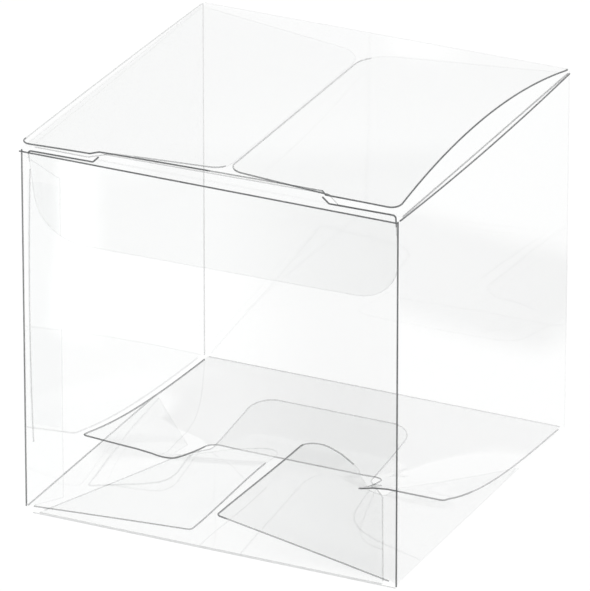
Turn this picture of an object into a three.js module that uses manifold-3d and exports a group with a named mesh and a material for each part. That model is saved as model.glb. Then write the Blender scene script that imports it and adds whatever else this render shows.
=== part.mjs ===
// A clear folding gift box with a tuck-in lid and a snap-lock bottom.
// The box is cut from one thin transparent sheet, scored and folded, with one glued seam.
// Every panel or flap between two scores is a mesh, and a narrow gap stands for the score.
// Millimetres, +Z up, origin on the table under the middle of the box, front wall towards -Y.

import * as THREE from "three";
import { mergeVertices } from "three/addons/utils/BufferGeometryUtils.js";
import Module from "manifold-3d";

const wasm = await Module();
wasm.setup();

const { clamp, degToRad, lerp, smoothstep } = THREE.MathUtils;

// Overall sizes, over the outer faces
const boxWidth = 100;
const boxDepth = 100;
const wallHeight = 96;

// The sheet and its scored folds
const sheet = 0.35;
const creaseGap = 0.3;
const cornerRadius = 0.8;
const slidingGap = 0.3;

// Front wall
const frontWallDrop = 0.7;

// Glued seam in the front left corner
const glueFlapWidth = 10.5;
const glueFlapTaper = 5;
const glueFlapEndClearance = 1;
const glueFilm = 0.1;
const glueFilmGap = 0.05;
const glueBandWidth = 8.4;
const glueBandFromBottom = 24;
const glueBandFromTop = 8;
const glueBandEndRadius = 1;

// Lid
const lidSideClearance = 0.4;
const lidFrontRiseLeft = 1.6;
const lidFrontRiseRight = 3;
const lidBowLeft = 0.2;
const lidBowRight = 5.5;
const earDroop = 0.45;
const earDroopPower = 3;
const earCornerRadius = 2.5;
const earSlant = 1.6;
const lidBackCornerRadius = 1.2;
const slitCornerRadius = 0.3;

// Tuck flap and the slits beside its neck
const tuckSetback = 1;
const tuckNeckWidth = 56;
const tuckLength = 27.5;
const tuckLean = 8.5;
const tuckShoulderDrop = 3.1;
const tuckSideClearance = 1.6;
const tuckSideTaper = 0.7;
const tuckCornerRadius = 13;
const tuckShoulderRadius = 0.8;
const tuckNeckRadius = 0.5;
const slitOpening = 1.4;

// Dust flaps
const dustFrontClearance = 2.9;
const dustBackClearance = 1.1;
const dustMeetingGap = 0.6;
const dustShoulderWidth = 16.4;
const dustShoulderStep = 4.5;
const dustShoulderRadius = 1;
const dustFrontTaper = 3.1;
const dustBackTaper = 10.2;
const dustFrontCornerRadius = 4.5;
const dustBackCornerRadius = 9;

// Bottom flap with the tongue
const floorClearance = 0.05;
const tongueFlapSideClearance = 4;
const tongueFlapShoulderWidth = 55;
const tongueFlapShoulderFromMiddle = 9.8;
const tongueWidth = 43;
const tongueReach = 22;
const tongueCornerRadius = 6;
const tongueShoulderRadius = 1.5;
const tongueRootRadius = 2;
const tongueFlapRise = 2.95;
const tongueCurlShare = 0.2;
const tongueCurlPower = 4;

// Bottom flap with the recess
const recessFlapSideClearance = 1.4;
const recessWidth = 47;
const recessCornerRadius = 3;
const legWidth = 23.6;
const legReach = 20.5;
const legTipRadius = 1;
const legInnerTipRadius = 4;
const recessFlapRise = 2.6;

// How the legs of that flap curl up: each curl spreads from a narrow strip at the side of the
// flap, where the legs begin, to most of the width at their tips
const leftLegLift = 4.2;
const rightLegLift = 7.8;
const legLiftPower = 3.2;
const legSpreadPower = 0.6;
const curlStartAtLegRoot = 0.42;
const curlStartAtLegTip = 0.1;
const curlFullAtLegRoot = 1;
const curlFullAtLegTip = 0.7;
const leftSideLift = 1.4;
const leftSideLiftAlongPower = 1.5;
const leftSideLiftAcrossPower = 2.5;

// Bottom side flaps with their hooks
const sideFoldHeight = 0.7;
const sideFlapFrontClearance = 1.6;
const sideFlapBackReach = 22;
const rightFlapFrontEnd = 1.4;
const rightFlapBackEnd = 2.6;
const rightFlapReach = 2.5;
const leftFlapFrontEnd = 5.5;
const leftFlapBackEnd = 2.75;
const leftFlapReach = 0.5;
const sideFlapFrontCornerRadius = 1;
const sideFlapFreeCornerRadius = 5;
const hookDepth = 8;
const hookClearance = 1.2;
const hookSetback = 1.2;
const hookMouth = 4;
const hookTipRadius = 1;
const hookNeckRadius = 1.2;
const hookMouthRadius = 1.5;
const hookShoulderX = 17;
const hookShoulderSetback = 4;
const hookShoulderRadius = 4;

// Heights of the side flaps' undersides over the side edge of the tongue flap and at the free
// end, at the front, in line with the hook's neck, and behind the hook. The back of the right
// flap bulges up besides, between bulgeStart and bulgeEnd from its own fold.
const rightFlapFront = { overEdge: 4.5, atFreeEnd: 8.9 };
const rightFlapNeck = { overEdge: 3.35, atFreeEnd: 8.6 };
const rightFlapBack = { overEdge: 1.9, atFreeEnd: 6, bulge: 2.6 };
const leftFlapFront = { overEdge: 2.1, atFreeEnd: 3.6 };
const leftFlapNeck = { overEdge: 2.95, atFreeEnd: 6 };
const leftFlapBack = { overEdge: 2.1, atFreeEnd: 5.5 };
const bulgeStart = 27;
const bulgeEnd = 39;

// Places that follow from the sizes above
const halfWidth = boxWidth / 2;
const halfDepth = boxDepth / 2;
const rootInset = sheet + creaseGap;
const rootX = halfWidth - rootInset;
const rootY = halfDepth - rootInset;
const lidBackHeight = wallHeight + sheet + slidingGap;
const lidHalfWidth = halfWidth - lidSideClearance;
const lidRun = boxDepth - tuckSetback;
const tuckFoldY = -halfDepth + tuckSetback;
const glueFlapInset = sheet + glueFilm + 2 * glueFilmGap;

// Fineness of the curves, and how far a cutter or a blank reaches past what it cuts
const arcSteps = 4;
const foldArcSteps = 2;
const cellSize = 4;
const cutMargin = 1;
const mostOfSide = 0.48;

// Turns a closed geometry into a solid that can be joined and cut
function solidFrom(geometry) {
  const bare = geometry.clone();
  bare.deleteAttribute("normal");
  bare.deleteAttribute("uv");
  const merged = mergeVertices(bare);
  const vertProperties = new Float32Array(merged.getAttribute("position").array);
  const triVerts = new Uint32Array(merged.index.array);
  return new wasm.Manifold(new wasm.Mesh({ numProp: 3, vertProperties, triVerts }));
}

// Turns a solid back into a geometry that a mesh can show
function geometryFrom(solid) {
  const { vertProperties, triVerts } = solid.getMesh();
  const geometry = new THREE.BufferGeometry();
  geometry.setAttribute("position", new THREE.BufferAttribute(vertProperties, 3));
  geometry.setIndex(new THREE.BufferAttribute(triVerts, 1));
  geometry.computeVertexNormals();
  return geometry;
}

// A closed outline through corners given as [x, y, radius], each corner an arc where it has a
// radius. An arc takes up less than half of the shorter side beside it.
function roundedOutline(corners) {
  const count = corners.length;
  const points = corners.flatMap(([x, y, radius = 0], index) => {
    const corner = new THREE.Vector2(x, y);
    if (radius === 0) return [corner];
    const [beforeX, beforeY] = corners[(index + count - 1) % count];
    const [afterX, afterY] = corners[(index + 1) % count];
    const toBefore = new THREE.Vector2(beforeX, beforeY).sub(corner);
    const toAfter = new THREE.Vector2(afterX, afterY).sub(corner);
    const room = mostOfSide * Math.min(toBefore.length(), toAfter.length());
    toBefore.normalize();
    toAfter.normalize();
    const halfAngle = Math.acos(clamp(toBefore.dot(toAfter), -1, 1)) / 2;
    const tangent = Math.min(radius / Math.tan(halfAngle), room);
    const arcRadius = tangent * Math.tan(halfAngle);
    const inward = toBefore.clone().add(toAfter).normalize();
    const centre = corner.clone().addScaledVector(inward, arcRadius / Math.sin(halfAngle));
    const from = corner.clone().addScaledVector(toBefore, tangent).sub(centre).angle();
    const to = corner.clone().addScaledVector(toAfter, tangent).sub(centre).angle();
    const clockwise = toBefore.cross(toAfter) > 0;
    const arc = new THREE.EllipseCurve(centre.x, centre.y, arcRadius, arcRadius, from, to, clockwise);
    return arc.getPoints(2 * arcSteps);
  });
  return new THREE.Shape(points);
}

// The same corners seen in a mirror, for the left one of a pair
function mirrored(corners) {
  return corners.map(([x, y, radius]) => [-x, y, radius]);
}

// A flat piece of the sheet with the given outline, its underside at z = 0
function flatSheet(outline, thickness = sheet) {
  return new THREE.ExtrudeGeometry(outline, {
    depth: thickness,
    bevelEnabled: false,
    curveSegments: arcSteps,
  });
}

// A piece of the sheet bent to a surface: lift(x, y) is the height of its underside
function bentSheet(outline, lift) {
  const bounds = new THREE.Box2().setFromPoints(outline.getPoints(arcSteps));
  const size = bounds.getSize(new THREE.Vector2()).addScalar(2 * cutMargin);
  const centre = bounds.getCenter(new THREE.Vector2());
  const columns = Math.ceil(size.x / cellSize);
  const rows = Math.ceil(size.y / cellSize);
  const blank = new THREE.BoxGeometry(size.x, size.y, sheet, columns, rows, 1);
  blank.translate(centre.x, centre.y, sheet / 2);
  const position = blank.getAttribute("position");
  for (let i = 0; i < position.count; i++) {
    position.setZ(i, position.getZ(i) + lift(position.getX(i), position.getY(i)));
  }
  blank.computeBoundingBox();
  const { min, max } = blank.boundingBox;
  const cutter = flatSheet(outline, max.z - min.z + 2 * cutMargin);
  cutter.translate(0, 0, min.z - cutMargin);
  return geometryFrom(solidFrom(blank).intersect(solidFrom(cutter)));
}

// Plan section of a wall: its outer face lies on y = 0 and its inner face at y = -sheet.
// An end that is folded turns through half of the corner, and the next wall has the other half.
function wallSection(fromX, fromIsFolded, toX, toIsFolded) {
  const innerRadius = cornerRadius - sheet;
  const halfGap = creaseGap / 2 / (cornerRadius - sheet / 2);
  const foldEnd = Math.PI / 4 + halfGap;
  const straight = Math.PI / 2;
  const section = new THREE.Shape();
  if (toIsFolded) {
    const centreX = toX - cornerRadius;
    section.absarc(centreX, -cornerRadius, innerRadius, straight, foldEnd, true);
    section.absarc(centreX, -cornerRadius, cornerRadius, foldEnd, straight, false);
  } else {
    section.moveTo(toX, -sheet);
    section.lineTo(toX, 0);
  }
  if (fromIsFolded) {
    const centreX = fromX + cornerRadius;
    section.absarc(centreX, -cornerRadius, cornerRadius, straight, Math.PI - foldEnd, false);
    section.absarc(centreX, -cornerRadius, innerRadius, Math.PI - foldEnd, straight, true);
  } else {
    section.lineTo(fromX, 0);
    section.lineTo(fromX, -sheet);
  }
  return section;
}

function wallGeometry(section, height) {
  return new THREE.ExtrudeGeometry(section, {
    depth: height,
    bevelEnabled: false,
    curveSegments: foldArcSteps,
  });
}

// Clear film, or the faintly bluish glue
function clearFilm(color = 0xe9eef0) {
  return new THREE.MeshStandardMaterial({
    color,
    roughness: 0.06,
    metalness: 0,
    transparent: true,
    opacity: 0.28,
    side: THREE.DoubleSide,
  });
}

const giftBox = new THREE.Group();
giftBox.name = "clear_gift_box";

function addPiece(name, geometry, material = clearFilm()) {
  const mesh = new THREE.Mesh(geometry, material);
  mesh.name = name;
  giftBox.add(mesh);
  return mesh;
}

// A wall stands on its side of the box, its outer face turned outwards by a turn about +Z
function addWall(name, geometry, turn, x, y, bottom = 0) {
  const wall = addPiece(name, geometry);
  wall.rotation.z = turn;
  wall.position.set(x, y, bottom);
}

// Walls of the tube
addWall(
  "front_panel",
  wallGeometry(wallSection(-halfWidth, true, halfWidth, false), wallHeight - frontWallDrop),
  Math.PI,
  0,
  -halfDepth,
);
addWall(
  "right_panel",
  wallGeometry(wallSection(-halfDepth, true, halfDepth, true), wallHeight - sideFoldHeight),
  -Math.PI / 2,
  halfWidth,
  0,
  sideFoldHeight,
);
addWall(
  "back_panel",
  wallGeometry(wallSection(-halfWidth, true, halfWidth, true), lidBackHeight),
  0,
  0,
  halfDepth,
);
addWall(
  "left_panel",
  wallGeometry(
    wallSection(-halfDepth + glueFlapInset, true, halfDepth, true),
    wallHeight - sideFoldHeight,
  ),
  Math.PI / 2,
  -halfWidth,
  0,
  sideFoldHeight,
);

// Glue flap: it continues the left wall round the corner, behind the front wall.
// Its two ends are cut at a slant, so that they stay clear of the folds above and below.
function glueFlapGeometry() {
  const freeEdge = halfWidth - glueFlapWidth;
  const strip = wallGeometry(wallSection(freeEdge, false, halfWidth, true), wallHeight);
  const bottom = glueFlapEndClearance;
  const top = wallHeight - frontWallDrop - glueFlapEndClearance;
  const taperedSide = roundedOutline([
    [halfWidth + cutMargin, bottom],
    [halfWidth + cutMargin, top],
    [halfWidth - cornerRadius, top],
    [freeEdge - cutMargin, top - glueFlapTaper],
    [freeEdge - cutMargin, bottom + glueFlapTaper],
    [halfWidth - cornerRadius, bottom],
  ]);
  const cutter = flatSheet(taperedSide, 4 * cornerRadius);
  cutter.rotateX(Math.PI / 2);
  cutter.translate(0, cornerRadius, 0);
  return geometryFrom(solidFrom(strip).intersect(solidFrom(cutter)));
}

addWall("glue_flap", glueFlapGeometry(), Math.PI, 0, -halfDepth + glueFlapInset);

// Glue band between the glue flap and the front wall
function glueBandGeometry() {
  const middleX = -halfWidth + glueFlapWidth / 2 + cornerRadius;
  const left = middleX - glueBandWidth / 2;
  const right = middleX + glueBandWidth / 2;
  const top = wallHeight - glueBandFromTop;
  const band = flatSheet(
    roundedOutline([
      [left, glueBandFromBottom, glueBandEndRadius],
      [right, glueBandFromBottom, glueBandEndRadius],
      [right, top, glueBandEndRadius],
      [left, top, glueBandEndRadius],
    ]),
    glueFilm,
  );
  return band.rotateX(Math.PI / 2);
}

const glueBand = addPiece("seam_adhesive", glueBandGeometry(), clearFilm(0xdfe6f2));
glueBand.position.y = -halfDepth + sheet + glueFilmGap + glueFilm;

// Height of the lid's upper face. It climbs to its front fold, more on the right, its right edge
// bows up, and its two ears droop beside the tuck flap.
function lidTop(x, y) {
  const across = clamp(x / lidHalfWidth, -1, 1);
  const along = clamp((halfDepth - y) / lidRun, 0, 1);
  const toRight = (across + 1) / 2;
  const frontRise = lerp(lidFrontRiseLeft, lidFrontRiseRight, toRight);
  const bow = lerp(lidBowLeft, lidBowRight, toRight);
  const arch = 4 * along * (1 - along);
  const droop = earDroop * Math.abs(across) ** earDroopPower * along;
  return lidBackHeight + frontRise * along - droop + bow * arch;
}

function lidGeometry() {
  const neckEdgeY = tuckFoldY + rootInset;
  const earInnerX = tuckNeckWidth / 2 + slitOpening;
  const rightHalf = [
    [earInnerX, neckEdgeY, slitCornerRadius],
    [earInnerX + earSlant, -halfDepth, slitCornerRadius],
    [lidHalfWidth, -halfDepth, earCornerRadius],
    [lidHalfWidth, rootY, lidBackCornerRadius],
  ];
  const outline = roundedOutline([...rightHalf, ...mirrored(rightHalf).reverse()]);
  return bentSheet(outline, (x, y) => lidTop(x, y) - sheet);
}

addPiece("lid_panel", lidGeometry());

// Tuck flap: its neck hangs from the lid's front fold, its shoulders are the lower sides of the
// slits that the dust flaps catch in, and its lower corners are well rounded for tucking in.
function tuckFlapGeometry() {
  const neck = tuckNeckWidth / 2;
  const wide = halfWidth - tuckSideClearance;
  const rightHalf = [
    [wide - tuckSideTaper, -tuckLength, tuckCornerRadius],
    [wide, -tuckShoulderDrop, tuckShoulderRadius],
    [neck + tuckShoulderDrop, -tuckShoulderDrop, tuckNeckRadius],
    [neck, 0],
  ];
  const flap = flatSheet(roundedOutline([...rightHalf, ...mirrored(rightHalf).reverse()]));
  return flap.translate(0, 0, -sheet);
}

// The lid's front fold climbs to the right, so the tuck flap is turned by the same slope
const frontFoldSlope = Math.atan((lidFrontRiseRight - lidFrontRiseLeft) / (2 * lidHalfWidth));
const tuckFlap = addPiece("tuck_flap", tuckFlapGeometry());
tuckFlap.rotation.set(Math.PI / 2 + degToRad(tuckLean), -frontFoldSlope, 0, "YXZ");
tuckFlap.position.set(0, tuckFoldY, lidTop(0, tuckFoldY) - sheet * Math.sin(degToRad(tuckLean)));

// Dust flaps: a shoulder at the front that the slit of the tuck flap catches,
// a step back behind it, and a slanted back edge that frees the lid's fold.
const dustFrontY = -halfDepth + dustFrontClearance;
const dustStepY = dustFrontY + dustShoulderStep;
const dustBackY = halfDepth - dustBackClearance;
const dustShoulderX = rootX - dustShoulderWidth;
const dustFreeX = dustMeetingGap / 2;
const dustFlapCorners = [
  [rootX, dustFrontY],
  [dustShoulderX, dustFrontY, dustShoulderRadius],
  [dustShoulderX - dustShoulderStep, dustStepY, dustShoulderRadius],
  [dustFreeX, dustStepY + dustFrontTaper, dustFrontCornerRadius],
  [dustFreeX, dustBackY - dustBackTaper, dustBackCornerRadius],
  [rootX, dustBackY],
];

for (const [name, corners] of [
  ["right_dust_flap", dustFlapCorners],
  ["left_dust_flap", mirrored(dustFlapCorners)],
]) {
  addPiece(name, flatSheet(roundedOutline(corners))).position.z = wallHeight - sheet;
}

// Underside of the flap with the tongue. It climbs from the front wall, runs below the legs of
// the back flap, and curls up where the tongue rides over the recess.
function tongueFlapLift(y) {
  const along = Math.max(0, (y + rootY) / rootY);
  return floorClearance + tongueFlapRise * lerp(along, along ** tongueCurlPower, tongueCurlShare);
}

function tongueFlapGeometry() {
  const shoulderX = tongueFlapShoulderWidth / 2;
  const tongueX = tongueWidth / 2;
  const rightHalf = [
    [halfWidth - tongueFlapSideClearance, -rootY],
    [shoulderX, -tongueFlapShoulderFromMiddle, tongueShoulderRadius],
    [tongueX, -tongueFlapShoulderFromMiddle + shoulderX - tongueX, tongueRootRadius],
    [tongueX, tongueReach, tongueCornerRadius],
  ];
  const outline = roundedOutline([...rightHalf, ...mirrored(rightHalf).reverse()]);
  return bentSheet(outline, (x, y) => tongueFlapLift(y));
}

addPiece("bottom_front_flap", tongueFlapGeometry());

// Underside of the flap with the recess. Between its legs it stays low under the tongue, and
// its legs curl up over the side flaps, the right one more sharply and the left one from its root.
function recessFlapLift(x, y) {
  const along = clamp((rootY - y) / (rootY + legReach), 0, 1);
  const across = clamp(Math.abs(x) / (halfWidth - recessFlapSideClearance), 0, 1);
  const legShare = clamp(-y / legReach, 0, 1) ** legSpreadPower;
  const curlStart = lerp(curlStartAtLegRoot, curlStartAtLegTip, legShare);
  const curlFull = lerp(curlFullAtLegRoot, curlFullAtLegTip, legShare);
  const curl = along ** legLiftPower * smoothstep(across, curlStart, curlFull);
  const flat = floorClearance + recessFlapRise * along;
  if (x > 0) return flat + rightLegLift * curl;
  const side = along ** leftSideLiftAlongPower * across ** leftSideLiftAcrossPower;
  return flat + leftLegLift * curl + leftSideLift * side;
}

function recessFlapGeometry() {
  const outerX = halfWidth - recessFlapSideClearance;
  const rightHalf = [
    [recessWidth / 2, 0, recessCornerRadius],
    [outerX - legWidth, -legReach, legInnerTipRadius],
    [outerX, -legReach, legTipRadius],
    [outerX, rootY],
  ];
  const outline = roundedOutline([...rightHalf, ...mirrored(rightHalf).reverse()]);
  return bentSheet(outline, recessFlapLift);
}

addPiece("bottom_back_flap", recessFlapGeometry());

const tongueFlapEdge = rootX - tongueFlapShoulderWidth / 2;
const hookX = tongueFlapShoulderWidth / 2 + hookClearance;
const hookNeckY = -tongueFlapShoulderFromMiddle - hookSetback;
const sideFlapRoot = sideFoldHeight + floorClearance;

// Section of a side flap: a parabola from the flap's own fold through two heights of its underside
function sectionHeight({ overEdge, atFreeEnd, bulge = 0 }, distance) {
  const edgeSlope = (overEdge - sideFlapRoot) / tongueFlapEdge;
  const endSlope = (atFreeEnd - sideFlapRoot) / rootX;
  const bend = (endSlope - edgeSlope) / (rootX - tongueFlapEdge);
  const parabola = distance * (edgeSlope + bend * (distance - tongueFlapEdge));
  return sideFlapRoot + parabola + bulge * smoothstep(distance, bulgeStart, bulgeEnd);
}

// Underside of a side flap, which passes smoothly from one of its three sections to the next
function sideFlapLift([frontSection, neckSection, backSection], x, y) {
  const distance = Math.max(0, rootX - Math.abs(x));
  const front = sectionHeight(frontSection, distance);
  const neck = sectionHeight(neckSection, distance);
  const back = sectionHeight(backSection, distance);
  const toNeck = smoothstep(y, -rootY, hookNeckY);
  const toBack = smoothstep(y, hookNeckY, hookNeckY + hookDepth);
  return lerp(lerp(front, neck, toNeck), back, toBack);
}

// Corners of a side flap as on the right: frontRoot is where its fold begins, frontEnd and
// backEnd are how far its free edge stays from the middle, and reach is how far it goes back
// past the middle
function sideFlapCorners(frontRoot, frontEnd, backEnd, reach) {
  return [
    [rootX, frontRoot],
    [frontEnd, -halfDepth + sideFlapFrontClearance, sideFlapFrontCornerRadius],
    [backEnd, reach, sideFlapFreeCornerRadius],
    [hookShoulderX, reach - hookShoulderSetback, hookShoulderRadius],
    [hookX - hookMouth, hookNeckY, hookMouthRadius],
    [hookX, hookNeckY, hookNeckRadius],
    [hookX, hookNeckY + hookDepth, hookTipRadius],
    [rootX, sideFlapBackReach],
  ];
}

// The left flap's fold begins behind the glue flap
const leftFlapRoot = -halfDepth + sideFlapFrontClearance;
const rightFlapCorners = sideFlapCorners(-rootY, rightFlapFrontEnd, rightFlapBackEnd, rightFlapReach);
const leftFlapCorners = mirrored(
  sideFlapCorners(leftFlapRoot, leftFlapFrontEnd, leftFlapBackEnd, leftFlapReach),
);

for (const [name, corners, sections] of [
  ["bottom_right_flap", rightFlapCorners, [rightFlapFront, rightFlapNeck, rightFlapBack]],
  ["bottom_left_flap", leftFlapCorners, [leftFlapFront, leftFlapNeck, leftFlapBack]],
]) {
  addPiece(name, bentSheet(roundedOutline(corners), (x, y) => sideFlapLift(sections, x, y)));
}

export default giftBox;
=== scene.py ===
import math

import bmesh
import bpy
from mathutils import Matrix, Vector
from mathutils.geometry import intersect_point_line


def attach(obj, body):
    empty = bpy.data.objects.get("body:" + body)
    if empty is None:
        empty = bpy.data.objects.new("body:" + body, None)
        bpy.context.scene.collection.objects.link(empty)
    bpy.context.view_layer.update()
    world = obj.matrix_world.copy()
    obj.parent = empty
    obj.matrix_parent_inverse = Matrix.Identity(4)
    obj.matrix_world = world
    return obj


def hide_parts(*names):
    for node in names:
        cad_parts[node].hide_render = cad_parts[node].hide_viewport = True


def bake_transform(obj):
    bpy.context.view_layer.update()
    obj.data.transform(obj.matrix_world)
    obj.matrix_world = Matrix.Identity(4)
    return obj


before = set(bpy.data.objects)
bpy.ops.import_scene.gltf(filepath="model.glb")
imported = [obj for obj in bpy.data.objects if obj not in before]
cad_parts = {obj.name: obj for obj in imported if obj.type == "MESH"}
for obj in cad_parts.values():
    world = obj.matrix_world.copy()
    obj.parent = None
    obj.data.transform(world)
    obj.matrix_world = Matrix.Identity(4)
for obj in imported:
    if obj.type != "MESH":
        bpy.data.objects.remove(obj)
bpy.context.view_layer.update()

MM = 0.001

# The camera of the photograph, from the fit to the box's corners.
CAMERA_AZIMUTH = math.radians(25.446)
CAMERA_ELEVATION = math.radians(24.335)
CAMERA_DISTANCE = 2217.4 * MM
CAMERA_TARGET = Vector((-0.76, 0, 46.65)) * MM
CAMERA_LENS = 555.87

scene = bpy.context.scene
scene.view_settings.view_transform = "Standard"
# a ray that grazes the box passes many layers of film
scene.cycles.transparent_max_bounces = 128


# ---- nodes and materials ----

class Nodes:
    """A node tree with short calls for its nodes and links."""

    def __init__(self, tree):
        self.tree = tree
        tree.nodes.clear()

    def add(self, kind, **settings):
        node = self.tree.nodes.new(kind)
        for name, value in settings.items():
            setattr(node, name, value)
        return node

    def put(self, value, socket):
        if isinstance(value, bpy.types.NodeSocket):
            self.tree.links.new(value, socket)
        else:
            socket.default_value = value

    def math(self, operation, a, b, clamp=False):
        node = self.add("ShaderNodeMath", operation=operation, use_clamp=clamp)
        self.put(a, node.inputs[0])
        self.put(b, node.inputs[1])
        return node.outputs[0]

    def smooth(self, value, low, high, to_low=0.0, to_high=1.0):
        """value from low to high, turned smoothly into to_low to to_high."""
        node = self.add("ShaderNodeMapRange", interpolation_type="SMOOTHSTEP")
        self.put(value, node.inputs["Value"])
        self.put(low, node.inputs["From Min"])
        self.put(high, node.inputs["From Max"])
        self.put(to_low, node.inputs["To Min"])
        self.put(to_high, node.inputs["To Max"])
        return node.outputs["Result"]

    def between(self, value, low, full_low, full_high, high):
        """1 from full_low to full_high, and 0 below low and above high, with soft ends."""
        return self.math(
            "MULTIPLY", self.smooth(value, low, full_low), self.smooth(value, high, full_high)
        )

    def mix(self, factor, a, b):
        node = self.add("ShaderNodeMixShader")
        self.put(factor, node.inputs[0])
        self.put(a, node.inputs[1])
        self.put(b, node.inputs[2])
        return node.outputs[0]

    def mix_number(self, factor, a, b):
        node = self.add("ShaderNodeMix", data_type="FLOAT")
        self.put(factor, node.inputs[0])
        self.put(a, node.inputs[2])
        self.put(b, node.inputs[3])
        return node.outputs[0]

    def coordinates(self, kind):
        """x, y and z of an output of the Texture Coordinate node."""
        place = self.add("ShaderNodeTexCoord")
        parts = self.add("ShaderNodeSeparateXYZ")
        self.put(place.outputs[kind], parts.inputs[0])
        return parts.outputs

    def noise(self, scale, detail):
        place = self.add("ShaderNodeTexCoord")
        node = self.add("ShaderNodeTexNoise")
        self.put(place.outputs["Object"], node.inputs["Vector"])
        self.put(scale, node.inputs["Scale"])
        self.put(detail, node.inputs["Detail"])
        return node.outputs[0]

    def emission(self, strength):
        node = self.add("ShaderNodeEmission")
        self.put(strength, node.inputs["Strength"])
        return node.outputs[0]

    def surface(self, shader):
        self.put(shader, self.add("ShaderNodeOutputMaterial").inputs["Surface"])


def new_material(name):
    material = bpy.data.materials.new(name)
    material.use_nodes = True
    return material, Nodes(material.node_tree)


WHITE = 1.0


def grey_level(level):
    return (level, level, level, 1.0)


# the long shallow waves of a film's surface
WAVE_SCALE = 28.0
WAVE_DETAIL = 1.0
WAVE_DEPTH = 2 * MM
# with this blend the Layer Weight node's Facing goes evenly from 0, square on, to 1, edge on
EVEN_BLEND = 0.5


def film_material(
    name, tint, facing_reflection, edge_reflection, power, waviness, mirror=1.0, roughness=0.04
):
    """Clear film: it lets light through with a slight tint, and reflects more the flatter it is
    seen. mirror is the brightness of what it mirrors. Only faces turned towards the ray count, so a
    sheet with two sides counts once."""
    material, nodes = new_material(name)
    facing = nodes.add("ShaderNodeLayerWeight")
    nodes.put(EVEN_BLEND, facing.inputs["Blend"])
    geometry = nodes.add("ShaderNodeNewGeometry")
    bump = nodes.add("ShaderNodeBump")
    nodes.put(waviness, bump.inputs["Strength"])
    nodes.put(WAVE_DEPTH, bump.inputs["Distance"])
    nodes.put(nodes.noise(WAVE_SCALE, WAVE_DETAIL), bump.inputs["Height"])
    grazing = nodes.math("POWER", facing.outputs["Facing"], power)
    front = nodes.math("SUBTRACT", 1.0, geometry.outputs["Backfacing"])
    share = nodes.math("MULTIPLY", grazing, edge_reflection)
    share = nodes.math("ADD", share, facing_reflection)
    share = nodes.math("MULTIPLY", share, front, clamp=True)
    clear = nodes.add("ShaderNodeBsdfTransparent")
    nodes.put((*tint, 1.0), clear.inputs["Color"])
    through = nodes.add("ShaderNodeBsdfTransparent")
    nodes.put(grey_level(WHITE), through.inputs["Color"])
    gloss = nodes.add("ShaderNodeBsdfGlossy")
    nodes.put(grey_level(mirror), gloss.inputs["Color"])
    nodes.put(roughness, gloss.inputs["Roughness"])
    nodes.put(bump.outputs[0], gloss.inputs["Normal"])
    passing = nodes.mix(geometry.outputs["Backfacing"], clear.outputs[0], through.outputs[0])
    nodes.surface(nodes.mix(share, passing, gloss.outputs[0]))
    return material


# how an edge varies along its length, as a share of its tone, and its cool cast
EDGE_NOISE_SCALE = 60.0
EDGE_NOISE_DETAIL = 2.0
NOISE_LOW, NOISE_HIGH = 0.3, 0.7
EDGE_DARKEST, EDGE_PALEST = 0.8, 1.25
EDGE_RED, EDGE_BLUE = 0.95, 1.04
EDGE_ROUGHNESS = 0.3


def edge_material(name, dark, solid):
    """The cut edge or crease of clear film, which traps light and looks grey, a little uneven along
    its length. dark is its tone, and solid how much it hides. Only the side turned towards the ray
    counts."""
    material, nodes = new_material(name)
    noise = nodes.noise(EDGE_NOISE_SCALE, EDGE_NOISE_DETAIL)
    tone = nodes.smooth(noise, NOISE_LOW, NOISE_HIGH, EDGE_DARKEST * dark, EDGE_PALEST * dark)
    colour = nodes.add("ShaderNodeCombineColor")
    nodes.put(nodes.math("MULTIPLY", tone, EDGE_RED), colour.inputs[0])
    nodes.put(tone, colour.inputs[1])
    nodes.put(nodes.math("MULTIPLY", tone, EDGE_BLUE), colour.inputs[2])
    body = nodes.add("ShaderNodeBsdfPrincipled")
    nodes.put(colour.outputs[0], body.inputs["Base Color"])
    nodes.put(EDGE_ROUGHNESS, body.inputs["Roughness"])
    clear = nodes.add("ShaderNodeBsdfTransparent")
    geometry = nodes.add("ShaderNodeNewGeometry")
    front = nodes.math("SUBTRACT", 1.0, geometry.outputs["Backfacing"])
    share = nodes.math("MULTIPLY", front, solid)
    nodes.surface(nodes.mix(share, clear.outputs[0], body.outputs[0]))
    return material


# the share of light that film reflects square on, what edge on adds, and how late that comes
FILM_LOOK = {
    "tint": (0.994, 0.997, 0.996),
    "facing_reflection": 0.09,
    "edge_reflection": 0.85,
    "power": 3.3,
    "waviness": 0.06,
}
film = film_material("clear_film", **FILM_LOOK)
# painted shade: a flap behind or below other film has its mirrored light darkened, as if it
# mirrored less of the room
film_painted_shade_behind = film_material("clear_film_painted_shade_behind", **FILM_LOOK, mirror=0.5)
film_painted_shade_below = film_material("clear_film_painted_shade_below", **FILM_LOOK, mirror=0.75)
glue = film_material(
    "clear_glue", tint=(0.964, 0.967, 0.968), facing_reflection=0.03, edge_reflection=0.3,
    power=5.0, waviness=0.3, roughness=0.12,
)

# A cut edge is dark where it is square, and pale where a layer clings to it. Each tone has its own
# thickness, in millimetres, as a bead along the edge.
DARK, MIDDLE, SOFT, FAINT, NONE = range(5)
edges = [
    edge_material("cut_edge_dark", dark=0.10, solid=0.92),
    edge_material("cut_edge_middle", dark=0.10, solid=0.62),
    edge_material("cut_edge_soft", dark=0.16, solid=0.36),
    edge_material("cut_edge_faint", dark=0.25, solid=0.09),
]
BEAD_RADIUS = [0.21, 0.19, 0.17, 0.16]
BEAD_SIDES = 8
# the distance between the points of a bead, in millimetres
SHORTEST_STEP, LONGEST_STEP = 0.05, 2.5


# ---- shapes ----

def link(obj):
    scene.collection.objects.link(obj)
    return obj


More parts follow.
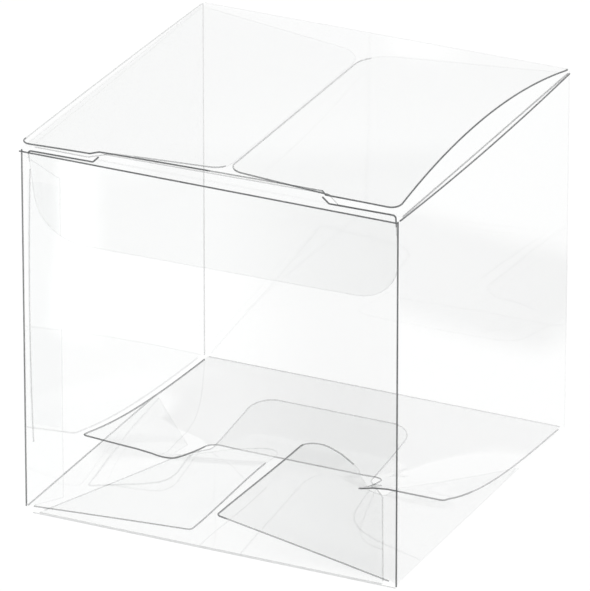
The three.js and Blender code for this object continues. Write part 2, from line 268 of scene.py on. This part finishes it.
def bead_mesh(name, runs):
    """Round beads along runs. Each run is (points, tones, closed), in millimetres, with the tone
    of the edge at each point."""
    verts, faces, indices = [], [], []
    for points, tones, closed in runs:
        count = len(points)
        rings = []
        across = None
        for number, point in enumerate(points):
            ahead = Vector()
            if closed or number:
                ahead += (point - points[number - 1]).normalized()
            if closed or number + 1 < count:
                ahead += (points[(number + 1) % count] - point).normalized()
            ahead.normalize()
            if across is None:
                across = ahead.orthogonal()
            across = (across - ahead * across.dot(ahead)).normalized()
            other = ahead.cross(across)
            radius = BEAD_RADIUS[tones[number]]
            ring = []
            for side in range(BEAD_SIDES):
                angle = math.tau * side / BEAD_SIDES
                outward = math.cos(angle) * across + math.sin(angle) * other
                ring.append(len(verts))
                verts.append((point + radius * outward) * MM)
            rings.append(ring)
        for number in range(count if closed else count - 1):
            a, b = rings[number], rings[(number + 1) % count]
            # a closed run comes back turned, so its last ring joins the first one's nearest corners
            shift = min(range(BEAD_SIDES), key=lambda s: (verts[a[0]] - verts[b[s]]).length)
            a, b = a + a[:1], b[shift:] + b[:shift + 1]
            for side in range(BEAD_SIDES):
                faces.append((a[side], a[side + 1], b[side + 1], b[side]))
                indices.append(tones[number])
        if not closed:
            faces.append(tuple(reversed(rings[0])))
            faces.append(tuple(rings[-1]))
            indices += [tones[0], tones[-1]]
    mesh = bpy.data.meshes.new(name)
    mesh.from_pydata(verts, [], faces)
    for material in edges:
        mesh.materials.append(material)
    for polygon, index in zip(mesh.polygons, indices):
        polygon.material_index = index
        polygon.use_smooth = True
    return mesh


def split_by_tone(points, rim_tone):
    """A closed loop of points as runs without the stretches whose tone is NONE."""
    tones = [rim_tone(*p) for p in points]
    if NONE not in tones:
        return [(points, tones, True)]
    start = tones.index(NONE)
    points = points[start:] + points[:start]
    tones = tones[start:] + tones[:start]
    runs, run = [], []
    for point, tone in zip(points + [None], tones + [NONE]):
        if tone != NONE:
            run.append((point, tone))
            continue
        if len(run) > 1:
            runs.append(([p for p, t in run], [t for p, t in run], False))
        run = []
    return runs


def smooth_patches(bm):
    """The faces in groups that smooth edges join, the largest group first."""
    left = set(bm.faces)
    patches = []
    while left:
        start = left.pop()
        patch = [start]
        queue = [start]
        while queue:
            for e in queue.pop().edges:
                if not e.smooth:
                    continue
                for face in e.link_faces:
                    if face in left:
                        left.remove(face)
                        patch.append(face)
                        queue.append(face)
        patches.append(patch)
    return sorted(patches, key=lambda p: -sum(f.calc_area() for f in p))


def border(patch):
    """The outer loop of a patch of faces, as points in millimetres."""
    inside = set(patch)
    following = {}
    for face in patch:
        for loop in face.loops:
            if not any(f in inside for f in loop.edge.link_faces if f is not face):
                following[loop.vert] = loop.link_loop_next.vert
    start = next(iter(following))
    points = [start.co / MM]
    vert = following[start]
    while vert is not start:
        points.append(vert.co / MM)
        vert = following[vert]
    return points


def nearest_on_loop(point, loop):
    best = None
    for number, corner in enumerate(loop):
        share = intersect_point_line(point, loop[number - 1], corner)[1]
        place = loop[number - 1].lerp(corner, min(1.0, max(0.0, share)))
        if best is None or (place - point).length < (best - point).length:
            best = place
    return best


def rim_line(front, behind):
    """The middle line of the rim between the two sides of a sheet, in steps that are neither very
    short nor very long."""
    corners = []
    for point in front:
        middle = point.lerp(nearest_on_loop(point, behind), 0.5)
        if not corners or (middle - corners[-1]).length > SHORTEST_STEP:
            corners.append(middle)
    if (corners[0] - corners[-1]).length < SHORTEST_STEP:
        corners.pop()
    points = []
    for number, corner in enumerate(corners):
        before = corners[number - 1]
        steps = max(1, math.ceil((corner - before).length / LONGEST_STEP))
        points += [before.lerp(corner, step / steps) for step in range(1, steps + 1)]
    return points


# vertices nearer than this are one, and faces that meet more steeply than this meet at an edge
SAME_PLACE = 1e-7
SHARP_ANGLE = math.radians(32)


def dress(node, body, side, rim_tone):
    """A smooth copy of a CAD node with side as its material, and a bead along its cut rim.
    rim_tone(x, y, z), in millimetres, says how dark the rim is there."""
    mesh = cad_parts[node].data.copy()
    mesh.name = node + "_film"
    mesh.materials.clear()
    mesh.materials.append(side)
    bm = bmesh.new()
    bm.from_mesh(mesh)
    bmesh.ops.remove_doubles(bm, verts=bm.verts, dist=SAME_PLACE)
    bm.normal_update()
    for face in bm.faces:
        face.smooth = True
        face.material_index = 0
    for e in bm.edges:
        e.smooth = len(e.link_faces) == 2 and e.calc_face_angle(0.0) <= SHARP_ANGLE
    patches = smooth_patches(bm)
    runs = split_by_tone(rim_line(border(patches[0]), border(patches[1])), rim_tone)
    bm.to_mesh(mesh)
    bm.free()
    obj = link(bpy.data.objects.new(node + "_film", mesh))
    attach(obj, body)
    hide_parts(node)
    if runs:
        rim = link(bpy.data.objects.new(node + "_edge", bead_mesh(node + "_edge", runs)))
        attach(rim, body)


# ---- how dark each cut edge is ----
# Each function takes a place on the rim, in millimetres. A flap has no rim along its fold, which
# lies further out from the middle of the box than FOLD.

FOLD = 49.2


def front_wall_rim(x, y, z):
    top_edge, bottom_edge, left_edge = 95.1, 0.3, -49.1
    if z > top_edge:
        return DARK
    return SOFT if z < bottom_edge and x > left_edge else NONE


def no_rim(x, y, z):
    return NONE


def glue_flap_rim(x, y, z):
    fold = -48.9
    return NONE if x < fold else FAINT


def lid_rim(x, y, z):
    back_fold, left_edge, front_fold, neck_end = 49, -49, -47, 28.5
    if y > back_fold:
        return NONE
    if 0 < x < neck_end:
        return MIDDLE
    return SOFT if x < left_edge and y > front_fold else DARK


def tuck_rim(x, y, z):
    fold, slit, corner = 98, 94, 92
    if z > fold:
        return NONE
    if z > slit:
        return DARK
    return SOFT if z > corner else FAINT


def left_dust_rim(x, y, z):
    front_part, inner_half = -38, -25
    if x < -FOLD:
        return NONE
    if y > front_part:
        return FAINT
    return MIDDLE if x > inner_half else SOFT


def right_dust_rim(x, y, z):
    front_part, back_part, inner_end, shoulder = -38, 35, 2, 30
    if x > FOLD:
        return NONE
    if y > back_part and x > inner_end:
        return FAINT
    if y < front_part and x > inner_end:
        return DARK if x < shoulder else SOFT
    return MIDDLE


def tongue_flap_rim(x, y, z):
    return NONE if y < -FOLD else SOFT


def recess_flap_rim(x, y, z):
    leg_side, leg_tip, recess_side, recess_mouth = 48, -5, 25, -4
    if y > FOLD:
        return NONE
    beside_right_leg = x > leg_side and y > leg_tip
    in_recess = abs(x) < recess_side and y > recess_mouth
    return MIDDLE if beside_right_leg or in_recess else DARK


def left_flap_rim(x, y, z):
    covered_part = -12
    if x < -FOLD:
        return NONE
    return MIDDLE if y < covered_part else FAINT


def right_flap_rim(x, y, z):
    covered_part, hook_end, inner_end = -14, 16, 3
    if x > FOLD:
        return NONE
    if y > covered_part and x > hook_end:
        return FAINT
    return DARK if x < inner_end else MIDDLE


for node, body, side, rim in (
    ("front_panel", "tube", film, front_wall_rim),
    ("back_panel", "tube", film, no_rim),
    ("left_panel", "tube", film, no_rim),
    ("right_panel", "tube", film, no_rim),
    ("glue_flap", "tube", film, glue_flap_rim),
    ("lid_panel", "lid", film, lid_rim),
    ("tuck_flap", "tuck", film_painted_shade_behind, tuck_rim),
    ("left_dust_flap", "left_dust", film, left_dust_rim),
    ("right_dust_flap", "right_dust", film, right_dust_rim),
    ("bottom_front_flap", "bottom_front", film, tongue_flap_rim),
    ("bottom_back_flap", "bottom_back", film, recess_flap_rim),
    ("bottom_left_flap", "bottom_left", film, left_flap_rim),
    ("bottom_right_flap", "bottom_right", film_painted_shade_below, right_flap_rim),
):
    dress(node, body, side, rim)
dress("seam_adhesive", "tube", glue, no_rim)


# ---- folds ----

def crease(name, start, end, tone, sag=(0, 0, 0)):
    """A scored crease that closes the gap between two pieces: a bead of film from start to end, in
    millimetres, which leaves the straight line by sag in its middle."""
    start, end, sag = Vector(start), Vector(end), Vector(sag)
    count = math.ceil((end - start).length / LONGEST_STEP)
    points = []
    for number in range(count + 1):
        share = number / count
        points.append(start.lerp(end, share) + 4 * share * (1 - share) * sag)
    run = (points, [tone] * len(points), False)
    obj = link(bpy.data.objects.new(name, bead_mesh(name, [run])))
    return obj


# upright folds of the tube
CORNER = 49.6
FRONT_TOP, BACK_TOP = 95.6, 96.2
for name, x, y, bottom, top, tone in (
    ("front_right_fold", CORNER, -CORNER, 0.3, FRONT_TOP, DARK),
    ("front_left_fold", -CORNER, -49.3, 1.2, FRONT_TOP, DARK),
    ("back_left_fold", -CORNER, CORNER, 0.5, BACK_TOP, SOFT),
    ("back_right_fold", CORNER, CORNER, 0.5, BACK_TOP, FAINT),
):
    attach(crease(name, (x, y, bottom), (x, y, top), tone), "tube")

# the rounded upper edge of the right wall, which the crease above it has pulled in
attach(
    crease("right_wall_shoulder", (49.9, -49.1, 95.7), (49.9, 49.1, 95.7), DARK, sag=(0, 0, -1)),
    "tube",
)
# the edge of the glue, where it was pressed out towards the corner
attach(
    crease(
        "glue_line", (-47.3, -49.55, 19), (-47.3, -49.55, 91), SOFT, sag=(-0.6, 0, 0),
    ),
    "tube",
)

# folds of the lid and the flaps: each is a bead along the fold, which stays where it lies
for name, body, start, end, tone in (
    ("lid_fold", "lid", (-49, 49.65, 96.6), (49, 49.65, 96.6), FAINT),
    ("right_dust_fold", "right_dust", (49.65, -46.9, 95.85), (49.65, 48.7, 95.85), MIDDLE),
    ("left_dust_fold", "left_dust", (-49.65, -46.9, 95.85), (-49.65, 48.7, 95.85), FAINT),
    ("bottom_front_fold", "bottom_front", (-45.8, -49.6, 0.25), (45.8, -49.6, 0.25), SOFT),
    ("bottom_back_fold", "bottom_back", (-48.4, 49.6, 0.25), (48.4, 49.6, 0.25), SOFT),
    ("bottom_left_fold", "bottom_left", (-49.6, -48.2, 0.95), (-49.6, 21.8, 0.95), MIDDLE),
    ("bottom_right_fold", "bottom_right", (49.6, -49.1, 0.95), (49.6, 21.8, 0.95), FAINT),
):
    fold = crease(name, start, end, tone)
    along = (Vector(end) - Vector(start)).normalized()
    inward = along.cross(Vector((0, 0, 1)))
    if inward.dot(Vector(start)) > 0:
        inward = -inward
    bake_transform(fold)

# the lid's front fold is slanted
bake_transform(crease("tuck_fold", (-27.8, -49.0, 98.25), (27.8, -49.0, 99.03), SOFT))


# ---- stage, light and camera ----

# tones that the film mirrors, beside WHITE; those of the floor and the cards are painted
# reflections
GREY_FRONT = 0.35
NEAR_BEHIND, FAR_BEHIND, GREY_BAND = 0.98, 0.92, 0.66
CARD_GREY, SHIELD_TONE = 0.55, 0.9
LOW_SKY, HIGH_SKY = 1.12, 0.8

# the front wall, and how far sideways it mirrors the floor for each metre before it
FRONT_WALL_Y = -0.05
SIDEWAYS = 0.475

# the white floor in daylight, and the share of its own light that keeps it white
FLOOR_GREY = 0.9
FLOOR_GLOW, GLOW_SHARE = 1.06, 0.9


def floor_material():
    """A plain white floor that keeps the shadow. What the film mirrors of it is a painted
    reflection,
    which glossy rays alone see: a white table with a grey surround. Places are in metres."""
    material, nodes = new_material("white_floor")
    path = nodes.add("ShaderNodeLightPath")
    x, y, z = nodes.coordinates("Object")
    matt = nodes.add("ShaderNodeBsdfDiffuse")
    nodes.put(grey_level(FLOOR_GREY), matt.inputs["Color"])
    # painted reflection in front of the box: white on the left, grey towards the right, and a
    # painted glare strip far out
    depth = nodes.math("SUBTRACT", y, FRONT_WALL_Y)
    across = nodes.math("SUBTRACT", x, nodes.math("MULTIPLY", depth, SIDEWAYS))
    front_tone = nodes.smooth(across, 0.002, 0.045, WHITE, GREY_FRONT)
    strip = nodes.between(across, -0.047, -0.041, -0.037, -0.026)
    far_out = nodes.smooth(y, -0.140, -0.156)
    front_tone = nodes.math("ADD", front_tone, nodes.math("MULTIPLY", strip, far_out))
    # painted reflection behind and to the right: a grey band
    band_depth = nodes.between(y, 0.080, 0.100, 0.140, 0.160)
    band = nodes.math("MULTIPLY", band_depth, nodes.smooth(x, 0.062, 0.078))
    behind = nodes.smooth(y, 0.10, 0.16, NEAR_BEHIND, FAR_BEHIND)
    side_tone = nodes.mix_number(band, behind, GREY_BAND)
    in_front = nodes.smooth(y, -0.052, -0.056)
    painted_reflection = nodes.emission(nodes.mix_number(in_front, side_tone, front_tone))
    seen = nodes.mix(GLOW_SHARE, matt.outputs[0], nodes.emission(FLOOR_GLOW))
    lit = nodes.mix(path.outputs["Is Camera Ray"], matt.outputs[0], seen)
    nodes.surface(nodes.mix(path.outputs["Is Glossy Ray"], lit, painted_reflection))
    return material


def stage_quad(name, corners, material):
    mesh = bpy.data.meshes.new(name)
    mesh.from_pydata(corners, [], [(0, 1, 2, 3)])
    mesh.materials.append(material)
    quad = link(bpy.data.objects.new(name, mesh))
    return quad


FLOOR_HALF = 6.0
# the floor lies this far under the box, so that the two never share a plane
FLOOR_GAP = 0.02 * MM
floor = stage_quad(
    "floor",
    [(FLOOR_HALF * x, FLOOR_HALF * y, 0) for x, y in ((-1, -1), (1, -1), (1, 1), (-1, 1))],
    floor_material(),
)
floor.location.z = -FLOOR_GAP


def mirror_card(name, y, low, high, material):
    """An upright card behind the box, which shows in nothing but what the film mirrors."""
    half = 0.6
    card = stage_quad(
        name, [(-half, y, low), (half, y, low), (half, y, high), (-half, y, high)], material
    )
    card.visible_camera = False
    card.visible_diffuse = False
    card.visible_shadow = False
    card.visible_transmission = False


# painted shade: a grey card with soft ends, seen only in reflections, which the bottom of the box
# mirrors
CARD_LOW, CARD_HIGH = 0.098, 0.15
grey_card, nodes = new_material("grey_card")
x, y, z = nodes.coordinates("Object")
grey = nodes.between(z, CARD_LOW, 0.106, 0.132, CARD_HIGH)
nodes.surface(nodes.emission(nodes.mix_number(grey, WHITE, CARD_GREY)))
mirror_card("grey_card", 0.30, CARD_LOW, CARD_HIGH, grey_card)

# a painted reflection: a white card before it, which keeps it out of the bowed corner of the lid
SHIELD_HIGH = 0.14
white_card, nodes = new_material("white_card")
nodes.surface(nodes.emission(SHIELD_TONE))
mirror_card("white_card", 0.19, CARD_LOW, SHIELD_HIGH, white_card)

# a white surround, which the film mirrors greyer higher up; EVEN_LIGHT is what lights the scene
EVEN_LIGHT = 0.95
world = bpy.data.worlds.new("studio")
scene.world = world
world.use_nodes = True
sky = Nodes(world.node_tree)
path = sky.add("ShaderNodeLightPath")
x, y, z = sky.coordinates("Generated")
room = sky.smooth(z, 0.43, 0.58, LOW_SKY, HIGH_SKY)
plain = sky.mix_number(path.outputs["Is Glossy Ray"], EVEN_LIGHT, room)
shown = sky.math("MAXIMUM", path.outputs["Is Camera Ray"], path.outputs["Is Transmission Ray"])
background = sky.add("ShaderNodeBackground")
sky.put(sky.mix_number(shown, plain, WHITE), background.inputs["Strength"])
sky.put(background.outputs[0], sky.add("ShaderNodeOutputWorld").inputs["Surface"])

back = Vector((
    math.sin(CAMERA_AZIMUTH) * math.cos(CAMERA_ELEVATION),
    -math.cos(CAMERA_AZIMUTH) * math.cos(CAMERA_ELEVATION),
    math.sin(CAMERA_ELEVATION),
))
right = Vector((math.cos(CAMERA_AZIMUTH), math.sin(CAMERA_AZIMUTH), 0))
up = back.cross(right)
camera_data = bpy.data.cameras.new("camera")
camera_data.sensor_fit = "HORIZONTAL"
camera_data.sensor_width = 36
camera_data.lens = CAMERA_LENS
camera_data.clip_start = 0.05
camera_data.clip_end = 20
camera = link(bpy.data.objects.new("camera", camera_data))
turn = Matrix((right, up, back)).transposed().to_4x4()
camera.matrix_world = Matrix.Translation(CAMERA_TARGET + CAMERA_DISTANCE * back) @ turn
scene.camera = camera

# one large soft lamp high on the left, which the film doesn't mirror
LAMP_PLACE = Vector((-0.9, -0.8, 1.6))
LAMP_AIM = Vector((0, 0, 0.05))
lamp_data = bpy.data.lights.new("soft_lamp", "AREA")
lamp_data.shape = "DISK"
lamp_data.size = 1.2
lamp_data.energy = 8
lamp = link(bpy.data.objects.new("soft_lamp", lamp_data))
lamp.location = LAMP_PLACE
lamp.rotation_euler = (LAMP_AIM - LAMP_PLACE).to_track_quat("-Z", "Y").to_euler()
lamp.visible_glossy = False
